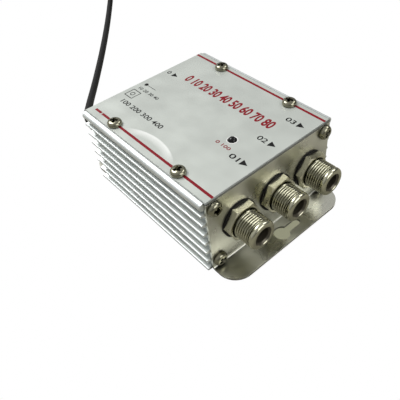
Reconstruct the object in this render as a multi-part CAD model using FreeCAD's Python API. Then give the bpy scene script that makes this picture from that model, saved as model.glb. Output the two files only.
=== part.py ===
"""A small television signal amplifier, in millimetres.

A ribbed aluminium channel is closed by a printed lid and by two bent sheet plates, whose feet
screw to a wall. Three threaded ports stand on the front plate and one on the rear plate, beside
a thin mains lead. Inside, a circuit board slides in rails of the channel.

X runs along the front plate, +Y to the rear, +Z up. The origin is at the middle of the case, on
the surface that it stands on. The front plate looks towards -Y.
"""
import FreeCAD
import Part
import math
import os

V = FreeCAD.Vector
X_AXIS = V(1, 0, 0)
Y_AXIS = V(0, 1, 0)
Z_AXIS = V(0, 0, 1)
SIDES = (-1, 1)

# Case
BODY_W = 50.0           # lid and end plates
BODY_L = 61.0           # over both end plates
BODY_H = 28.5           # to the top of the printed film
PLATE_T = 0.8
LID_T = 0.8
FILM_T = 0.2
FILM_INSET = 0.3
FIT = 0.05              # clearance round what slides or drops in

# Ribbed channel
FIN_COUNT = 7
FIN_ROOT = 1.3          # thickness of a fin where it meets the wall
FIN_TIP = 0.9
FIN_REACH = 1.6         # past the edge of the plates
GROOVE_INSET = 0.6      # bottom of the grooves, inside the edge of the plates
WALL_T = 2.0
FLOOR_T = 1.6
BEAD_H = 2.6            # rounded shoulder beside the lid
RAIL_OUT = 0.8
RAIL_T = 1.0
BOSS_R = 2.7

# Screws of the lid and of the plates
SCREW_Z_LOW = 3.7
SCREW_UNDER_LID = 2.4
LID_SCREW_IN = 14.4     # from the end of the lid
SCREW_R = 1.4
SCREW_HOLE_R = 1.65
PLATE_SCREW_LEN = 7.0
LID_SCREW_LEN = 5.8
HEAD_R = 2.35
HEAD_H = 1.7
HEAD_ROUND = 1.1

# Feet of the plates
FOOT_OUT = 9.2
FOOT_CORNER_R = 6.5
BEND_R = 0.6            # inside of the bend
KEY_X = -0.6
KEY_OUT = 5.0           # from the plate to the middle of the keyhole
KEY_R = 2.7
KEY_SLOT_R = 1.3
KEY_SLOT_LEN = 6.6

# Threaded ports
PORT_LIFT = 0.75        # above the middle of the plate
PORT_PITCH_SHARE = 0.298  # of the plate's width
MID_PORT_X = 1.1
IN_PORT_X = 8.0
THREAD_R = 4.76
NECK_R = 4.6            # under the nut, the washer and the plate
PORT_OUT = 10.0
PORT_EDGE_R = 0.9
PORT_BORE_R = 2.6
FLANGE_R = 5.3
FLANGE_T = 1.5
SHANK_R = 4.4
SHANK_LEN = 6.0         # behind the inner face of the plate
WASHER_R = 6.6
WASHER_T = 0.5
NUT_FLATS = 11.1
NUT_T = 2.2
NUT_CHAMFER = 0.5
NUT_TURN = -5.0         # one corner of the hexagon, in degrees from +X
INSULATOR_SET_BACK = 3.0
CONTACT_SET_BACK = 3.8
CONTACT_R = 0.8
TAIL_R = 0.4
TAIL_LEN = 2.6
TAIL_BEND_R = 1.0

# Circuit board and its parts
BOARD_T = 1.6
BOARD_UNDER_PORT = 5.7  # underside of the board, below the middle of the ports
BOARD_SIDE_GAP = 0.3
BOARD_END_GAP = 6.5     # to the inner face of each plate
PARTITION_Y = -3.0
PARTITION_SIDE_GAP = 3.1
PARTITION_H = 12.0
PARTITION_T = 0.5
CORE_PLACES = ((-13.0, -13.0), (7.5, -13.0), (15.5, -13.0))
CORE_R = 3.2
CORE_BORE_R = 1.4
CORE_H = 2.4
WIRE_T = 0.4
WINDING_ANGLES = (20, 60, 100, 140, 180, 220)
TRANSISTOR_PLACES = ((-8.0, -7.0), (10.5, -7.0))
TRANSISTOR_W = 4.4
TRANSISTOR_D = 2.4
TRANSISTOR_H = 1.5
TRANSISTOR_LEG_PITCH = 1.5
TRANSISTOR_LEG_W = 0.5
TRANSISTOR_LEG_OUT = 0.8
TRANSISTOR_TAB_W = 1.8
TRANSISTOR_TAB_OUT = 0.6
LEG_T = 0.4
CHOKE_PLACES = ((-16.0, -6.5), (17.0, -6.5))
CHOKE_R = 1.9
CHOKE_WAIST_R = 1.4
CHOKE_H = 4.0
CHOKE_FLANGE_T = 0.6
CAN_Y = (2.5, 11.0)
CAN_SIDE_GAP = 0.8      # from the edge of the board
CAN_R = 3.5
CAN_H = 11.5
CAN_GROOVE_Z = 1.6
CAN_GROOVE_HALF = 0.5
CAN_GROOVE_DEEP = 0.4
DIODE_X0 = -9.9
DIODE_PITCH = 3.2
DIODE_COUNT = 4
DIODE_Y = 6.5
DIODE_R = 1.35
DIODE_LEN = 5.0
DIODE_LEAD_R = 0.4
DIODE_LEAD_OUT = 1.8
REGULATOR_X = -4.0
REGULATOR_Y = 17.0
REGULATOR_W = 6.6
REGULATOR_D = 6.0
REGULATOR_H = 2.3
REGULATOR_TAB_W = 5.2
REGULATOR_TAB_OUT = 1.2
REGULATOR_LEG_PITCH = 4.6
REGULATOR_LEG_W = 0.8
REGULATOR_LEG_OUT = 2.4
TRANSFORMER_Y = 9.0
TRANSFORMER_SIDE_GAP = 0.9
CORE_PACK_W = 17.0
CORE_PACK_D = 12.0
CORE_PACK_H = 11.5
CORE_LEG_W = 5.0
CORE_YOKE = 2.5
WINDING_OUT = 2.5       # past each face of the laminations
CERAMIC_PLACES = ((-5.0, -12.0), (-5.0, -8.5), (2.0, -9.0), (13.5, -8.0), (1.5, 0.0), (-5.5, 0.0))
RESISTOR_PLACES = ((-2.0, -6.5), (4.5, -6.5), (6.5, -6.5), (-2.0, 0.0), (-10.0, 17.5), (-10.0, 21.0))
CHIP_W = 1.4
CHIP_L = 2.2
CERAMIC_H = 1.2
RESISTOR_H = 0.6

# Lamp in the lid
LAMP_X = -2.4
LAMP_IN = 14.2          # from the front end of the lid
LAMP_R = 1.45
LAMP_RISE = 1.0         # dome above the film
LAMP_BODY = 4.5
LAMP_FLANGE_R = 1.9
LAMP_FLANGE_T = 1.0
LAMP_LEAD_R = 0.3
LAMP_LEAD_GAP = 2.54

# Power lead
CORD_R = 1.5
GLAND_IN = 6.5          # from the edge of the plate
GLAND_UNDER_PORT = 4.6
GLAND_NECK_R = 2.55
GLAND_LIP_R = 3.0
GLAND_LIP_T = 1.5
GLAND_FLANGE_R = 4.2
GLAND_FLANGE_T = 1.2
BOOT_R = 3.0
BOOT_END_R = 2.1
BOOT_LEN = 8.0
WIRE_R = 0.65
WIRE_GAP = 1.6
WIRE_END_Y = 19.0
CORD_ROUTE = (
    (-18.5, 39.7, 9.9), (-18.5, 51.0, 9.9), (-9.0, 67.5, 4.9), (3.5, 85.5, 1.52),
    (18.0, 104.0, 1.52), (29.6, 119.3, 1.52), (41.0, 134.8, 1.52), (52.1, 150.4, 1.52),
    (63.0, 166.2, 1.52), (73.6, 182.2, 2.2),
)
COIL_X = 91.2
COIL_Y = 170.5
COIL_R = 18.0           # middle of the turns
COIL_ROWS = 3           # turns beside each other, and as many on each other
COIL_PITCH = 3.1
COIL_Z = 0.65           # underside of the turns, on the tie
COIL_END_ANGLE = 8.0    # where the last turn leaves the coil, in degrees from +X
TIE_ANGLE = 260.0
TIE_W = 3.0
TIE_T = 0.6
PLUG_OUT = 13.5         # from the coil's last turn to the plug
PLUG_TAIL_R = 2.2
PLUG_TAIL_ROOT_R = 3.2
PLUG_TAIL_LEN = 8.0
PLUG_T = 13.7
PLUG_NECK_W = 10.0
PLUG_FACE_W = 30.0
PLUG_TAPER_LEN = 14.0
PLUG_LEN = 26.0
PLUG_EDGE_R = 2.0
PIN_PITCH = 19.0
PIN_R = 2.0
PIN_LEN = 19.0
CORD_GAP = 0.02         # above the surface that the lead and the plug lie on

# Places worked out from the sizes above
HALF_W = BODY_W / 2
HALF_L = BODY_L / 2
LID_Z = BODY_H - FILM_T - LID_T
LID_TOP = LID_Z + LID_T
GROOVE_X = HALF_W - GROOVE_INSET
TIP_X = HALF_W + FIN_REACH
INNER_X = GROOVE_X - WALL_T
INNER_Y = HALF_L - PLATE_T
FIN_PITCH = (LID_TOP - BEAD_H - FIN_ROOT / 2) / (FIN_COUNT - 0.5)
SCREW_X = INNER_X
SCREW_Z_TOP = LID_Z - SCREW_UNDER_LID
LID_SCREW_Y = HALF_L - LID_SCREW_IN
PORT_Z = LID_Z / 2 + PORT_LIFT
PORT_PITCH = BODY_W * PORT_PITCH_SHARE
OUT_PORT_X = (MID_PORT_X - PORT_PITCH, MID_PORT_X, MID_PORT_X + PORT_PITCH)
BOARD_Z = PORT_Z - BOARD_UNDER_PORT
BOARD_TOP = BOARD_Z + BOARD_T
BOARD_X = INNER_X - BOARD_SIDE_GAP
BOARD_Y = INNER_Y - BOARD_END_GAP
PARTITION_X = BOARD_X - PARTITION_SIDE_GAP
CAN_X = -BOARD_X + CAN_R + CAN_SIDE_GAP
TRANSFORMER_X = BOARD_X - CORE_PACK_W / 2 - TRANSFORMER_SIDE_GAP
LAMP_Y = -HALF_L + LAMP_IN
GLAND_X = -HALF_W + GLAND_IN
GLAND_Z = PORT_Z - GLAND_UNDER_PORT
PORT_TIP_Y = -HALF_L - PORT_OUT
NUT_Y = -HALF_L - WASHER_T - NUT_T
SHANK_END_Y = -INNER_Y + SHANK_LEN
COIL_HALF = COIL_ROWS * COIL_PITCH / 2
COIL_MID_Z = COIL_Z + COIL_HALF
PLUG_Z = PLUG_T / 2 + CORD_GAP


def face_of(points):
    """Flat face inside straight edges."""
    return Part.Face(Part.makePolygon(list(points) + [points[0]]))


def box(x0, x1, y0, y1, z0, z1):
    """Block between two corners."""
    return Part.makeBox(x1 - x0, y1 - y0, z1 - z0, V(x0, y0, z0))


def rod(radius, start, end):
    """Cylinder from one point to another."""
    axis = V(*end) - V(*start)
    return Part.makeCylinder(radius, axis.Length, V(*start), axis)


def turned(points, at, axis):
    """Solid of revolution: (radius, distance along the axis) points, turned about the axis."""
    profile = face_of([V(radius, 0, along) for radius, along in points])
    solid = profile.revolve(V(0, 0, 0), Z_AXIS, 360)
    solid.Placement = FreeCAD.Placement(V(*at), FreeCAD.Rotation(Z_AXIS, axis))
    return solid


def fused(shapes):
    """One solid out of several that touch or overlap."""
    return shapes[0].multiFuse(shapes[1:]).removeSplitter()


def to_rear(shape):
    """The same piece turned half round, for the rear end."""
    turned_piece = shape.copy()
    turned_piece.rotate(V(0, 0, 0), Z_AXIS, 180)
    return turned_piece


def save(name, shapes):
    """Write one node; loose pieces of a kind share it as separate solids."""
    shapes = shapes if isinstance(shapes, list) else [shapes]
    solids = [solid for shape in shapes for solid in shape.Solids]
    node = solids[0] if len(solids) == 1 else Part.makeCompound(solids)
    node.exportStep(os.path.join("parts", name + ".step"))
    print(name, len(solids), "solids", round(node.Volume, 1), "mm3", "valid", node.isValid())


# Case


def wall_edges(side):
    """Outer outline of one ribbed wall, from the floor to the inner edge of the lid's seat."""
    def at(x, z):
        return V(side * x, 0, z)

    edges = []
    last = at(0, 0)
    for index in range(FIN_COUNT):
        middle = FIN_ROOT / 2 + index * FIN_PITCH
        tip = FIN_TIP / 2
        low = at(GROOVE_X, middle - FIN_ROOT / 2)
        start = at(TIP_X - tip, middle - tip)
        end = at(TIP_X - tip, middle + tip)
        high = at(GROOVE_X, middle + FIN_ROOT / 2)
        edges.append(Part.LineSegment(last, low))
        edges.append(Part.LineSegment(low, start))
        edges.append(Part.Arc(start, at(TIP_X, middle), end))
        edges.append(Part.LineSegment(end, high))
        last = high
    bead_r = BEAD_H / 2
    bead_mid = LID_TOP - bead_r
    under = at(GROOVE_X, bead_mid - bead_r)
    bead_low = at(TIP_X - bead_r, bead_mid - bead_r)
    bead_high = at(TIP_X - bead_r, LID_TOP)
    seat_out = at(HALF_W + FIT, LID_TOP)
    seat_low = at(HALF_W + FIT, LID_Z)
    seat_in = at(INNER_X, LID_Z)
    edges.append(Part.LineSegment(last, under))
    edges.append(Part.LineSegment(under, bead_low))
    edges.append(Part.Arc(bead_low, at(TIP_X, bead_mid), bead_high))
    edges.append(Part.LineSegment(bead_high, seat_out))
    edges.append(Part.LineSegment(seat_out, seat_low))
    edges.append(Part.LineSegment(seat_low, seat_in))
    edges.append(Part.LineSegment(seat_in, at(INNER_X, FLOOR_T)))
    edges.append(Part.LineSegment(at(INNER_X, FLOOR_T), at(0, FLOOR_T)))
    return [edge.toShape() for edge in edges]


def case_extrusion():
    """Aluminium channel: ribbed walls, screw channels and board rails, all drawn out along Y."""
    outline = Part.Wire(Part.sortEdges(wall_edges(1) + wall_edges(-1))[0])
    ribbed = Part.Face(outline).extrude(Y_AXIS * (2 * INNER_Y))
    ribbed.translate(V(0, -INNER_Y, 0))
    room = box(-GROOVE_X, GROOVE_X, -INNER_Y, INNER_Y, 0, LID_Z)
    parts = [ribbed]
    bores = []
    for side in SIDES:
        for z in (SCREW_Z_LOW, SCREW_Z_TOP):
            start = (side * SCREW_X, -INNER_Y, z)
            end = (side * SCREW_X, INNER_Y, z)
            parts.append(rod(BOSS_R, start, end).common(room))
            bores.append(rod(SCREW_R, start, end))
        inner, outer = sorted((side * (INNER_X - RAIL_OUT), side * (INNER_X + WALL_T / 2)))
        for z in (BOARD_Z - FIT - RAIL_T, BOARD_TOP + FIT):
            parts.append(box(inner, outer, -INNER_Y, INNER_Y, z, z + RAIL_T))
    for x, y in lid_screw_places():
        bores.append(rod(SCREW_R, (x, y, BODY_H - LID_SCREW_LEN), (x, y, BODY_H)))
    channel = fused(parts)
    for bore in bores:
        channel = channel.cut(bore)
    return channel


def lid_screw_places():
    """Places of the four screws of the lid."""
    return [(side * SCREW_X, end * LID_SCREW_Y) for side in SIDES for end in SIDES]


def lid_sheet(inset, z0, z1):
    """Lid or printed film, with the holes for the screws and the lamp."""
    x = HALF_W - inset
    y = HALF_L - inset
    sheet = box(-x, x, -y, y, z0, z1)
    for place_x, place_y in lid_screw_places():
        sheet = sheet.cut(rod(SCREW_HOLE_R, (place_x, place_y, z0 - 1), (place_x, place_y, z1 + 1)))
    return sheet.cut(rod(LAMP_R + FIT, (LAMP_X, LAMP_Y, z0 - 1), (LAMP_X, LAMP_Y, z1 + 1)))


def foot_outline():
    """Plan of a plate with its foot: the two far corners are round."""
    x = HALF_W
    y0 = -HALF_L - FOOT_OUT
    y1 = -INNER_Y
    r = FOOT_CORNER_R
    turn = r * (1 - math.sqrt(0.5))
    edges = [
        Part.LineSegment(V(-x, y1, 0), V(-x, y0 + r, 0)),
        Part.Arc(V(-x, y0 + r, 0), V(-x + turn, y0 + turn, 0), V(-x + r, y0, 0)),
        Part.LineSegment(V(-x + r, y0, 0), V(x - r, y0, 0)),
        Part.Arc(V(x - r, y0, 0), V(x - turn, y0 + turn, 0), V(x, y0 + r, 0)),
        Part.LineSegment(V(x, y0 + r, 0), V(x, y1, 0)),
        Part.LineSegment(V(x, y1, 0), V(-x, y1, 0)),
    ]
    return Part.Face(Part.Wire([edge.toShape() for edge in edges]))


def bent_sheet():
    """Front sheet, stood up from its foot, drawn out along X from its side view."""
    outer_r = BEND_R + PLATE_T
    mid = -HALF_L - BEND_R
    inner_turn = BEND_R * math.sqrt(0.5)
    outer_turn = outer_r * math.sqrt(0.5)

    def at(y, z):
        return V(-HALF_W, y, z)

    edges = [
        Part.LineSegment(at(-HALF_L, LID_Z), at(-HALF_L, outer_r)),
        Part.Arc(at(-HALF_L, outer_r), at(mid + inner_turn, outer_r - inner_turn), at(mid, PLATE_T)),
        Part.LineSegment(at(mid, PLATE_T), at(-HALF_L - FOOT_OUT, PLATE_T)),
        Part.LineSegment(at(-HALF_L - FOOT_OUT, PLATE_T), at(-HALF_L - FOOT_OUT, 0)),
        Part.LineSegment(at(-HALF_L - FOOT_OUT, 0), at(mid, 0)),
        Part.Arc(at(mid, 0), at(mid + outer_turn, outer_r - outer_turn), at(-INNER_Y, outer_r)),
        Part.LineSegment(at(-INNER_Y, outer_r), at(-INNER_Y, LID_Z)),
        Part.LineSegment(at(-INNER_Y, LID_Z), at(-HALF_L, LID_Z)),
    ]
    side_view = Part.Face(Part.Wire([edge.toShape() for edge in edges]))
    return side_view.extrude(X_AXIS * BODY_W)


def plate_hole(x, z, radius):
    """Round cutter through the front plate."""
    return rod(radius, (x, -HALF_L - 1, z), (x, -INNER_Y + 1, z))


def end_plate(key_side):
    """Plate of the front end, before its own holes; key_side turns the keyhole's slot."""
    plate = bent_sheet().common(foot_outline().extrude(Z_AXIS * BODY_H))
    for side in SIDES:
        for z in (SCREW_Z_LOW, SCREW_Z_TOP):
            plate = plate.cut(plate_hole(side * SCREW_X, z, SCREW_HOLE_R))
    key_y = -HALF_L - KEY_OUT
    slot_x = KEY_X + KEY_SLOT_LEN
    keyhole = fused([
        rod(KEY_R, (KEY_X, key_y, -1), (KEY_X, key_y, 2)),
        box(KEY_X, slot_x, key_y - KEY_SLOT_R, key_y + KEY_SLOT_R, -1, 2),
        rod(KEY_SLOT_R, (slot_x, key_y, -1), (slot_x, key_y, 2)),
    ])
    if key_side < 0:
        keyhole = keyhole.mirror(V(0, 0, 0), X_AXIS)
    return plate.cut(keyhole)


def front_plate():
    """Plate with three port holes."""
    plate = end_plate(1)
    for x in OUT_PORT_X:
        plate = plate.cut(plate_hole(x, PORT_Z, NECK_R + FIT))
    return plate


def rear_plate():
    """Plate with one port hole and the hole of the power lead."""
    plate = end_plate(-1)
    plate = plate.cut(plate_hole(-IN_PORT_X, PORT_Z, NECK_R + FIT))
    plate = plate.cut(plate_hole(-GLAND_X, GLAND_Z, GLAND_NECK_R + FIT))
    return to_rear(plate)


def screw(length, at, axis):
    """Pan head screw: the head's underside is at the given place, the shank runs along the axis."""
    shank = turned([(0, 0), (SCREW_R, 0), (SCREW_R, length), (0, length)], at, axis)
    head = turned([(0, 0), (HEAD_R, 0), (HEAD_R, -HEAD_H), (0, -HEAD_H)], at, axis)
    top = [edge for edge in head.Edges
           if edge.Closed and edge.BoundBox.Center.sub(V(*at)).Length > HEAD_H / 2]
    head = head.makeFillet(HEAD_ROUND, top)
    return fused([shank, head])


def lid_screws():
    """Four screws, down into the walls of the channel."""
    return [screw(LID_SCREW_LEN, (x, y, BODY_H), V(0, 0, -1)) for x, y in lid_screw_places()]


def front_screws():
    """Four screws, into the screw channels."""
    places = [(side * SCREW_X, z) for side in SIDES for z in (SCREW_Z_LOW, SCREW_Z_TOP)]
    return [screw(PLATE_SCREW_LEN, (x, -HALF_L, z), Y_AXIS) for x, z in places]


# Ports


def port(x):
    """Threaded body with an open bore, held by a flange behind the plate."""
    rim = PORT_TIP_Y + PORT_EDGE_R
    body = turned([
        (PORT_BORE_R, PORT_TIP_Y), (THREAD_R, PORT_TIP_Y), (THREAD_R, NUT_Y), (NECK_R, NUT_Y),
        (NECK_R, -INNER_Y), (FLANGE_R, -INNER_Y), (FLANGE_R, -INNER_Y + FLANGE_T),
        (SHANK_R, -INNER_Y + FLANGE_T), (SHANK_R, SHANK_END_Y), (PORT_BORE_R, SHANK_END_Y),
    ], (x, 0, PORT_Z), Y_AXIS)
    tip = [edge for edge in body.Edges if edge.Closed and edge.BoundBox.YMax < rim
           and edge.BoundBox.XLength > 2 * PORT_BORE_R + 1]
    return body.makeFillet(PORT_EDGE_R, tip)


def port_nut(x):
    """Hexagonal nut on the washer, its outer corners turned off."""
    corner = NUT_FLATS / math.sqrt(3)
    seat = -HALF_L - WASHER_T
    points = []
    for index in range(6):
        angle = math.radians(NUT_TURN + 60 * index)
        points.append(V(x + corner * math.cos(angle), seat, PORT_Z + corner * math.sin(angle)))
    hexagon = face_of(points).extrude(Y_AXIS * -NUT_T)
    cone = turned([
        (0, seat), (corner, seat), (corner, NUT_Y + NUT_CHAMFER), (NUT_FLATS / 2, NUT_Y), (0, NUT_Y),
    ], (x, 0, PORT_Z), Y_AXIS)
    return hexagon.common(cone).cut(rod(NECK_R, (x, seat + 1, PORT_Z), (x, NUT_Y - 1, PORT_Z)))


def port_washer(x):
    """Flat washer between the nut and the plate."""
    seat = -HALF_L
    return turned([
        (NECK_R, seat), (WASHER_R, seat), (WASHER_R, seat - WASHER_T), (NECK_R, seat - WASHER_T),
    ], (x, 0, PORT_Z), Y_AXIS)


def port_insulator(x):
    """Plastic plug in the bore, with a hole for the contact."""
    front = PORT_TIP_Y + INSULATOR_SET_BACK
    return turned([
        (CONTACT_R, front), (PORT_BORE_R, front), (PORT_BORE_R, SHANK_END_Y), (CONTACT_R, SHANK_END_Y),
    ], (x, 0, PORT_Z), Y_AXIS)


def port_contact(x):
    """Centre contact, with a tail that bends down to the board."""
    front = PORT_TIP_Y + CONTACT_SET_BACK
    tail_y = SHANK_END_Y + TAIL_LEN
    drop = TAIL_BEND_R * math.sqrt(0.5)
    bend_y = tail_y - TAIL_BEND_R
    low = PORT_Z - TAIL_BEND_R
    path = Part.Wire([
        Part.LineSegment(V(x, SHANK_END_Y - 1, PORT_Z), V(x, bend_y, PORT_Z)).toShape(),
        Part.Arc(V(x, bend_y, PORT_Z), V(x, bend_y + drop, low + drop), V(x, tail_y, low)).toShape(),
        Part.LineSegment(V(x, tail_y, low), V(x, tail_y, BOARD_TOP)).toShape(),
    ])
    ring = Part.Wire(Part.makeCircle(TAIL_R, V(x, SHANK_END_Y - 1, PORT_Z), Y_AXIS))
    tail = path.makePipeShell([ring], True, True)
    return fused([rod(CONTACT_R, (x, front, PORT_Z), (x, SHANK_END_Y, PORT_Z)), tail])


def at_ports(make):
    """The same piece for the three front ports and, turned round, for the rear one."""
    return [make(x) for x in OUT_PORT_X] + [to_rear(make(-IN_PORT_X))]


# Circuit board


def chips(places, height):
    """Small blocks on the board, one for each place."""
    dx = CHIP_W / 2
    dy = CHIP_L / 2
    return [box(x - dx, x + dx, y - dy, y + dy, BOARD_TOP, BOARD_TOP + height) for x, y in places]


def splitter_core(x, y):
    """Ferrite ring, lying on its winding."""
    low = BOARD_TOP + WIRE_T
    return turned([
        (CORE_BORE_R, low), (CORE_R, low), (CORE_R, low + CORE_H), (CORE_BORE_R, low + CORE_H),
    ], (x, y, 0), Z_AXIS)


def core_windings(x, y):
    """Turns of wire round one ferrite ring."""
    turns = []
    for angle in WINDING_ANGLES:
        turn = box(CORE_BORE_R - WIRE_T, CORE_R + WIRE_T, -WIRE_T / 2, WIRE_T / 2,
                   BOARD_TOP, BOARD_TOP + CORE_H + 2 * WIRE_T)
        turn.rotate(V(0, 0, 0), Z_AXIS, angle)
        turn.translate(V(x, y, 0))
        turns.append(turn.cut(splitter_core(x, y)))
    return turns


def leg(x, width, y0, y1):
    """Flat leg or tab of a board part."""
    return box(x - width / 2, x + width / 2, y0, y1, BOARD_TOP, BOARD_TOP + LEG_T)


def transistor(x, y):
    """Flat transistor with three legs in front and a tab behind."""
    dx = TRANSISTOR_W / 2
    dy = TRANSISTOR_D / 2
    pieces = [
        box(x - dx, x + dx, y - dy, y + dy, BOARD_TOP, BOARD_TOP + TRANSISTOR_H),
        leg(x, TRANSISTOR_TAB_W, y, y + dy + TRANSISTOR_TAB_OUT),
    ]
    for k in (-1, 0, 1):
        pieces.append(leg(x + k * TRANSISTOR_LEG_PITCH, TRANSISTOR_LEG_W, y - dy - TRANSISTOR_LEG_OUT, y))
    return fused(pieces)


def choke(x, y):
    """Small drum choke."""
    z = BOARD_TOP
    top = z + CHOKE_H
    return turned([
        (0, z), (CHOKE_R, z), (CHOKE_R, z + CHOKE_FLANGE_T), (CHOKE_WAIST_R, z + CHOKE_FLANGE_T),
        (CHOKE_WAIST_R, top - CHOKE_FLANGE_T), (CHOKE_R, top - CHOKE_FLANGE_T), (CHOKE_R, top), (0, top),
    ], (x, y, 0), Z_AXIS)


def filter_can(x, y):
    """Electrolytic capacitor, with the groove near its foot."""
    z = BOARD_TOP
    groove = z + CAN_GROOVE_Z
    return turned([
        (0, z), (CAN_R, z), (CAN_R, groove - CAN_GROOVE_HALF), (CAN_R - CAN_GROOVE_DEEP, groove),
        (CAN_R, groove + CAN_GROOVE_HALF), (CAN_R, z + CAN_H), (0, z + CAN_H),
    ], (x, y, 0), Z_AXIS)


def diode(x):
    """Rectifier diode, lying on the board, with its two bent leads."""
    z = BOARD_TOP + DIODE_R
    half = DIODE_LEN / 2
    out = half + DIODE_LEAD_OUT
    pieces = [
        rod(DIODE_R, (x, DIODE_Y - half, z), (x, DIODE_Y + half, z)),
        rod(DIODE_LEAD_R, (x, DIODE_Y - out, z), (x, DIODE_Y + out, z)),
    ]
    for end in SIDES:
        pieces.append(rod(DIODE_LEAD_R, (x, DIODE_Y + end * out, BOARD_TOP), (x, DIODE_Y + end * out, z)))
        pieces.append(Part.makeSphere(DIODE_LEAD_R, V(x, DIODE_Y + end * out, z)))
    return fused(pieces)


def voltage_regulator():
    """Surface regulator: body, tab and two legs."""
    x = REGULATOR_X
    y = REGULATOR_Y
    dx = REGULATOR_W / 2
    dy = REGULATOR_D / 2
    pieces = [
        box(x - dx, x + dx, y - dy, y + dy, BOARD_TOP, BOARD_TOP + REGULATOR_H),
        leg(x, REGULATOR_TAB_W, y, y + dy + REGULATOR_TAB_OUT),
    ]
    for side in SIDES:
        leg_x = x + side * REGULATOR_LEG_PITCH / 2
        pieces.append(leg(leg_x, REGULATOR_LEG_W, y - dy - REGULATOR_LEG_OUT, y))
    return fused(pieces)


def transformer_core():
    """Pack of laminations with two windows, standing on the board."""
    x = TRANSFORMER_X
    y = TRANSFORMER_Y
    dx = CORE_PACK_W / 2
    dy = CORE_PACK_D / 2
    pack = box(x - dx, x + dx, y - dy, y + dy, BOARD_TOP, BOARD_TOP + CORE_PACK_H)
    for side in SIDES:
        inner, outer = sorted((x + side * CORE_LEG_W / 2, x + side * (dx - CORE_YOKE)))
        pack = pack.cut(box(inner, outer, y - dy, y + dy,
                            BOARD_TOP + CORE_YOKE, BOARD_TOP + CORE_PACK_H - CORE_YOKE))
    return pack


def transformer_winding():
    """Winding round the middle leg, filling both windows."""
    dx = CORE_PACK_W / 2 - CORE_YOKE
    dy = CORE_PACK_D / 2 + WINDING_OUT
    winding = box(TRANSFORMER_X - dx, TRANSFORMER_X + dx, TRANSFORMER_Y - dy, TRANSFORMER_Y + dy,
                  BOARD_TOP + CORE_YOKE, BOARD_TOP + CORE_PACK_H - CORE_YOKE)
    return winding.cut(transformer_core())


# Lamp


def lamp():
    """Domed lamp, its flange under the lid."""
    top = BODY_H + LAMP_RISE
    spring = top - LAMP_R
    foot = LID_Z - LAMP_BODY
    body = rod(LAMP_R, (LAMP_X, LAMP_Y, foot), (LAMP_X, LAMP_Y, spring))
    flange = rod(LAMP_FLANGE_R, (LAMP_X, LAMP_Y, LID_Z - LAMP_FLANGE_T), (LAMP_X, LAMP_Y, LID_Z))
    return fused([body, flange, Part.makeSphere(LAMP_R, V(LAMP_X, LAMP_Y, spring))])


def lamp_leads():
    """Two wires that hold the lamp over the board."""
    foot = LID_Z - LAMP_BODY
    reach = min(LAMP_LEAD_GAP / 2, LAMP_R - LAMP_LEAD_R)
    places = [LAMP_X + side * reach for side in SIDES]
    return [rod(LAMP_LEAD_R, (x, LAMP_Y, BOARD_TOP), (x, LAMP_Y, foot)) for x in places]


# Power lead


def gland():
    """Bushing with a lip behind the plate and a tapered boot outside it."""
    inside = INNER_Y - GLAND_LIP_T
    boot = HALF_L + GLAND_FLANGE_T
    return turned([
        (0, inside), (GLAND_LIP_R, inside), (GLAND_LIP_R, INNER_Y), (GLAND_NECK_R, INNER_Y),
        (GLAND_NECK_R, HALF_L), (GLAND_FLANGE_R, HALF_L), (GLAND_FLANGE_R, boot), (BOOT_R, boot),
        (BOOT_END_R, boot + BOOT_LEN), (0, boot + BOOT_LEN),
    ], (GLAND_X, 0, GLAND_Z), Y_AXIS)


def power_wires():
    """The lead's two wires, lying on the board from the bushing to their pads."""
    z = BOARD_TOP + WIRE_R
    end = INNER_Y - GLAND_LIP_T
    return [rod(WIRE_R, (x, WIRE_END_Y, z), (x, end, z))
            for x in (GLAND_X - WIRE_GAP / 2, GLAND_X + WIRE_GAP / 2)]


def cord_tube(route):
    """Tube of straight runs joined by tangent arcs, each as wide as its two runs allow."""
    points = [V(*place) for place in route]
    edges = []
    start = points[0]
    radii = []
    for before, corner, after in zip(points, points[1:], points[2:]):
        arrive = (corner - before).normalize()
        leave = (after - corner).normalize()
        half_turn = arrive.getAngle(leave) / 2
        back = 0.45 * min((corner - before).Length, (after - corner).Length)
        radius = back / math.tan(half_turn)
        radii.append(round(radius, 1))
        tangent_in = corner - arrive * back
        tangent_out = corner + leave * back
        inward = (leave - arrive).normalize()
        middle = corner + inward * (radius / math.cos(half_turn) - radius)
        edges.append(Part.LineSegment(start, tangent_in).toShape())
        edges.append(Part.Arc(tangent_in, middle, tangent_out).toShape())
        start = tangent_out
    edges.append(Part.LineSegment(start, points[-1]).toShape())
    path = Part.Wire(edges)
    ring = Part.Wire(Part.makeCircle(CORD_R, points[0], points[1] - points[0]))
    tube = path.makePipeShell([ring], True, False)
    straight = tube.Volume / (math.pi * CORD_R ** 2)
    print("cord radii", radii)
    print("cord length", round(path.Length, 2), "volume over section", round(straight, 2))
    return tube


def coil():
    """Outer shape of the tied turns: a ring of round-cornered section."""
    ring = turned([
        (COIL_R - COIL_HALF, -COIL_HALF), (COIL_R + COIL_HALF, -COIL_HALF),
        (COIL_R + COIL_HALF, COIL_HALF), (COIL_R - COIL_HALF, COIL_HALF),
    ], (COIL_X, COIL_Y, COIL_MID_Z), Z_AXIS)
    return ring.makeFillet(CORD_R, [edge for edge in ring.Edges if edge.Closed])


def cord_tie():
    """Band round the coil's turns."""
    half = COIL_HALF + TIE_T
    band = box(COIL_R - half, COIL_R + half, -TIE_W / 2, TIE_W / 2, -half, half)
    band = band.makeFillet(CORD_R, [edge for edge in band.Edges if edge.BoundBox.YLength > TIE_W / 2])
    band.rotate(V(0, 0, 0), Z_AXIS, TIE_ANGLE)
    band.translate(V(COIL_X, COIL_Y, COIL_MID_Z))
    return band.cut(coil())


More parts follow.
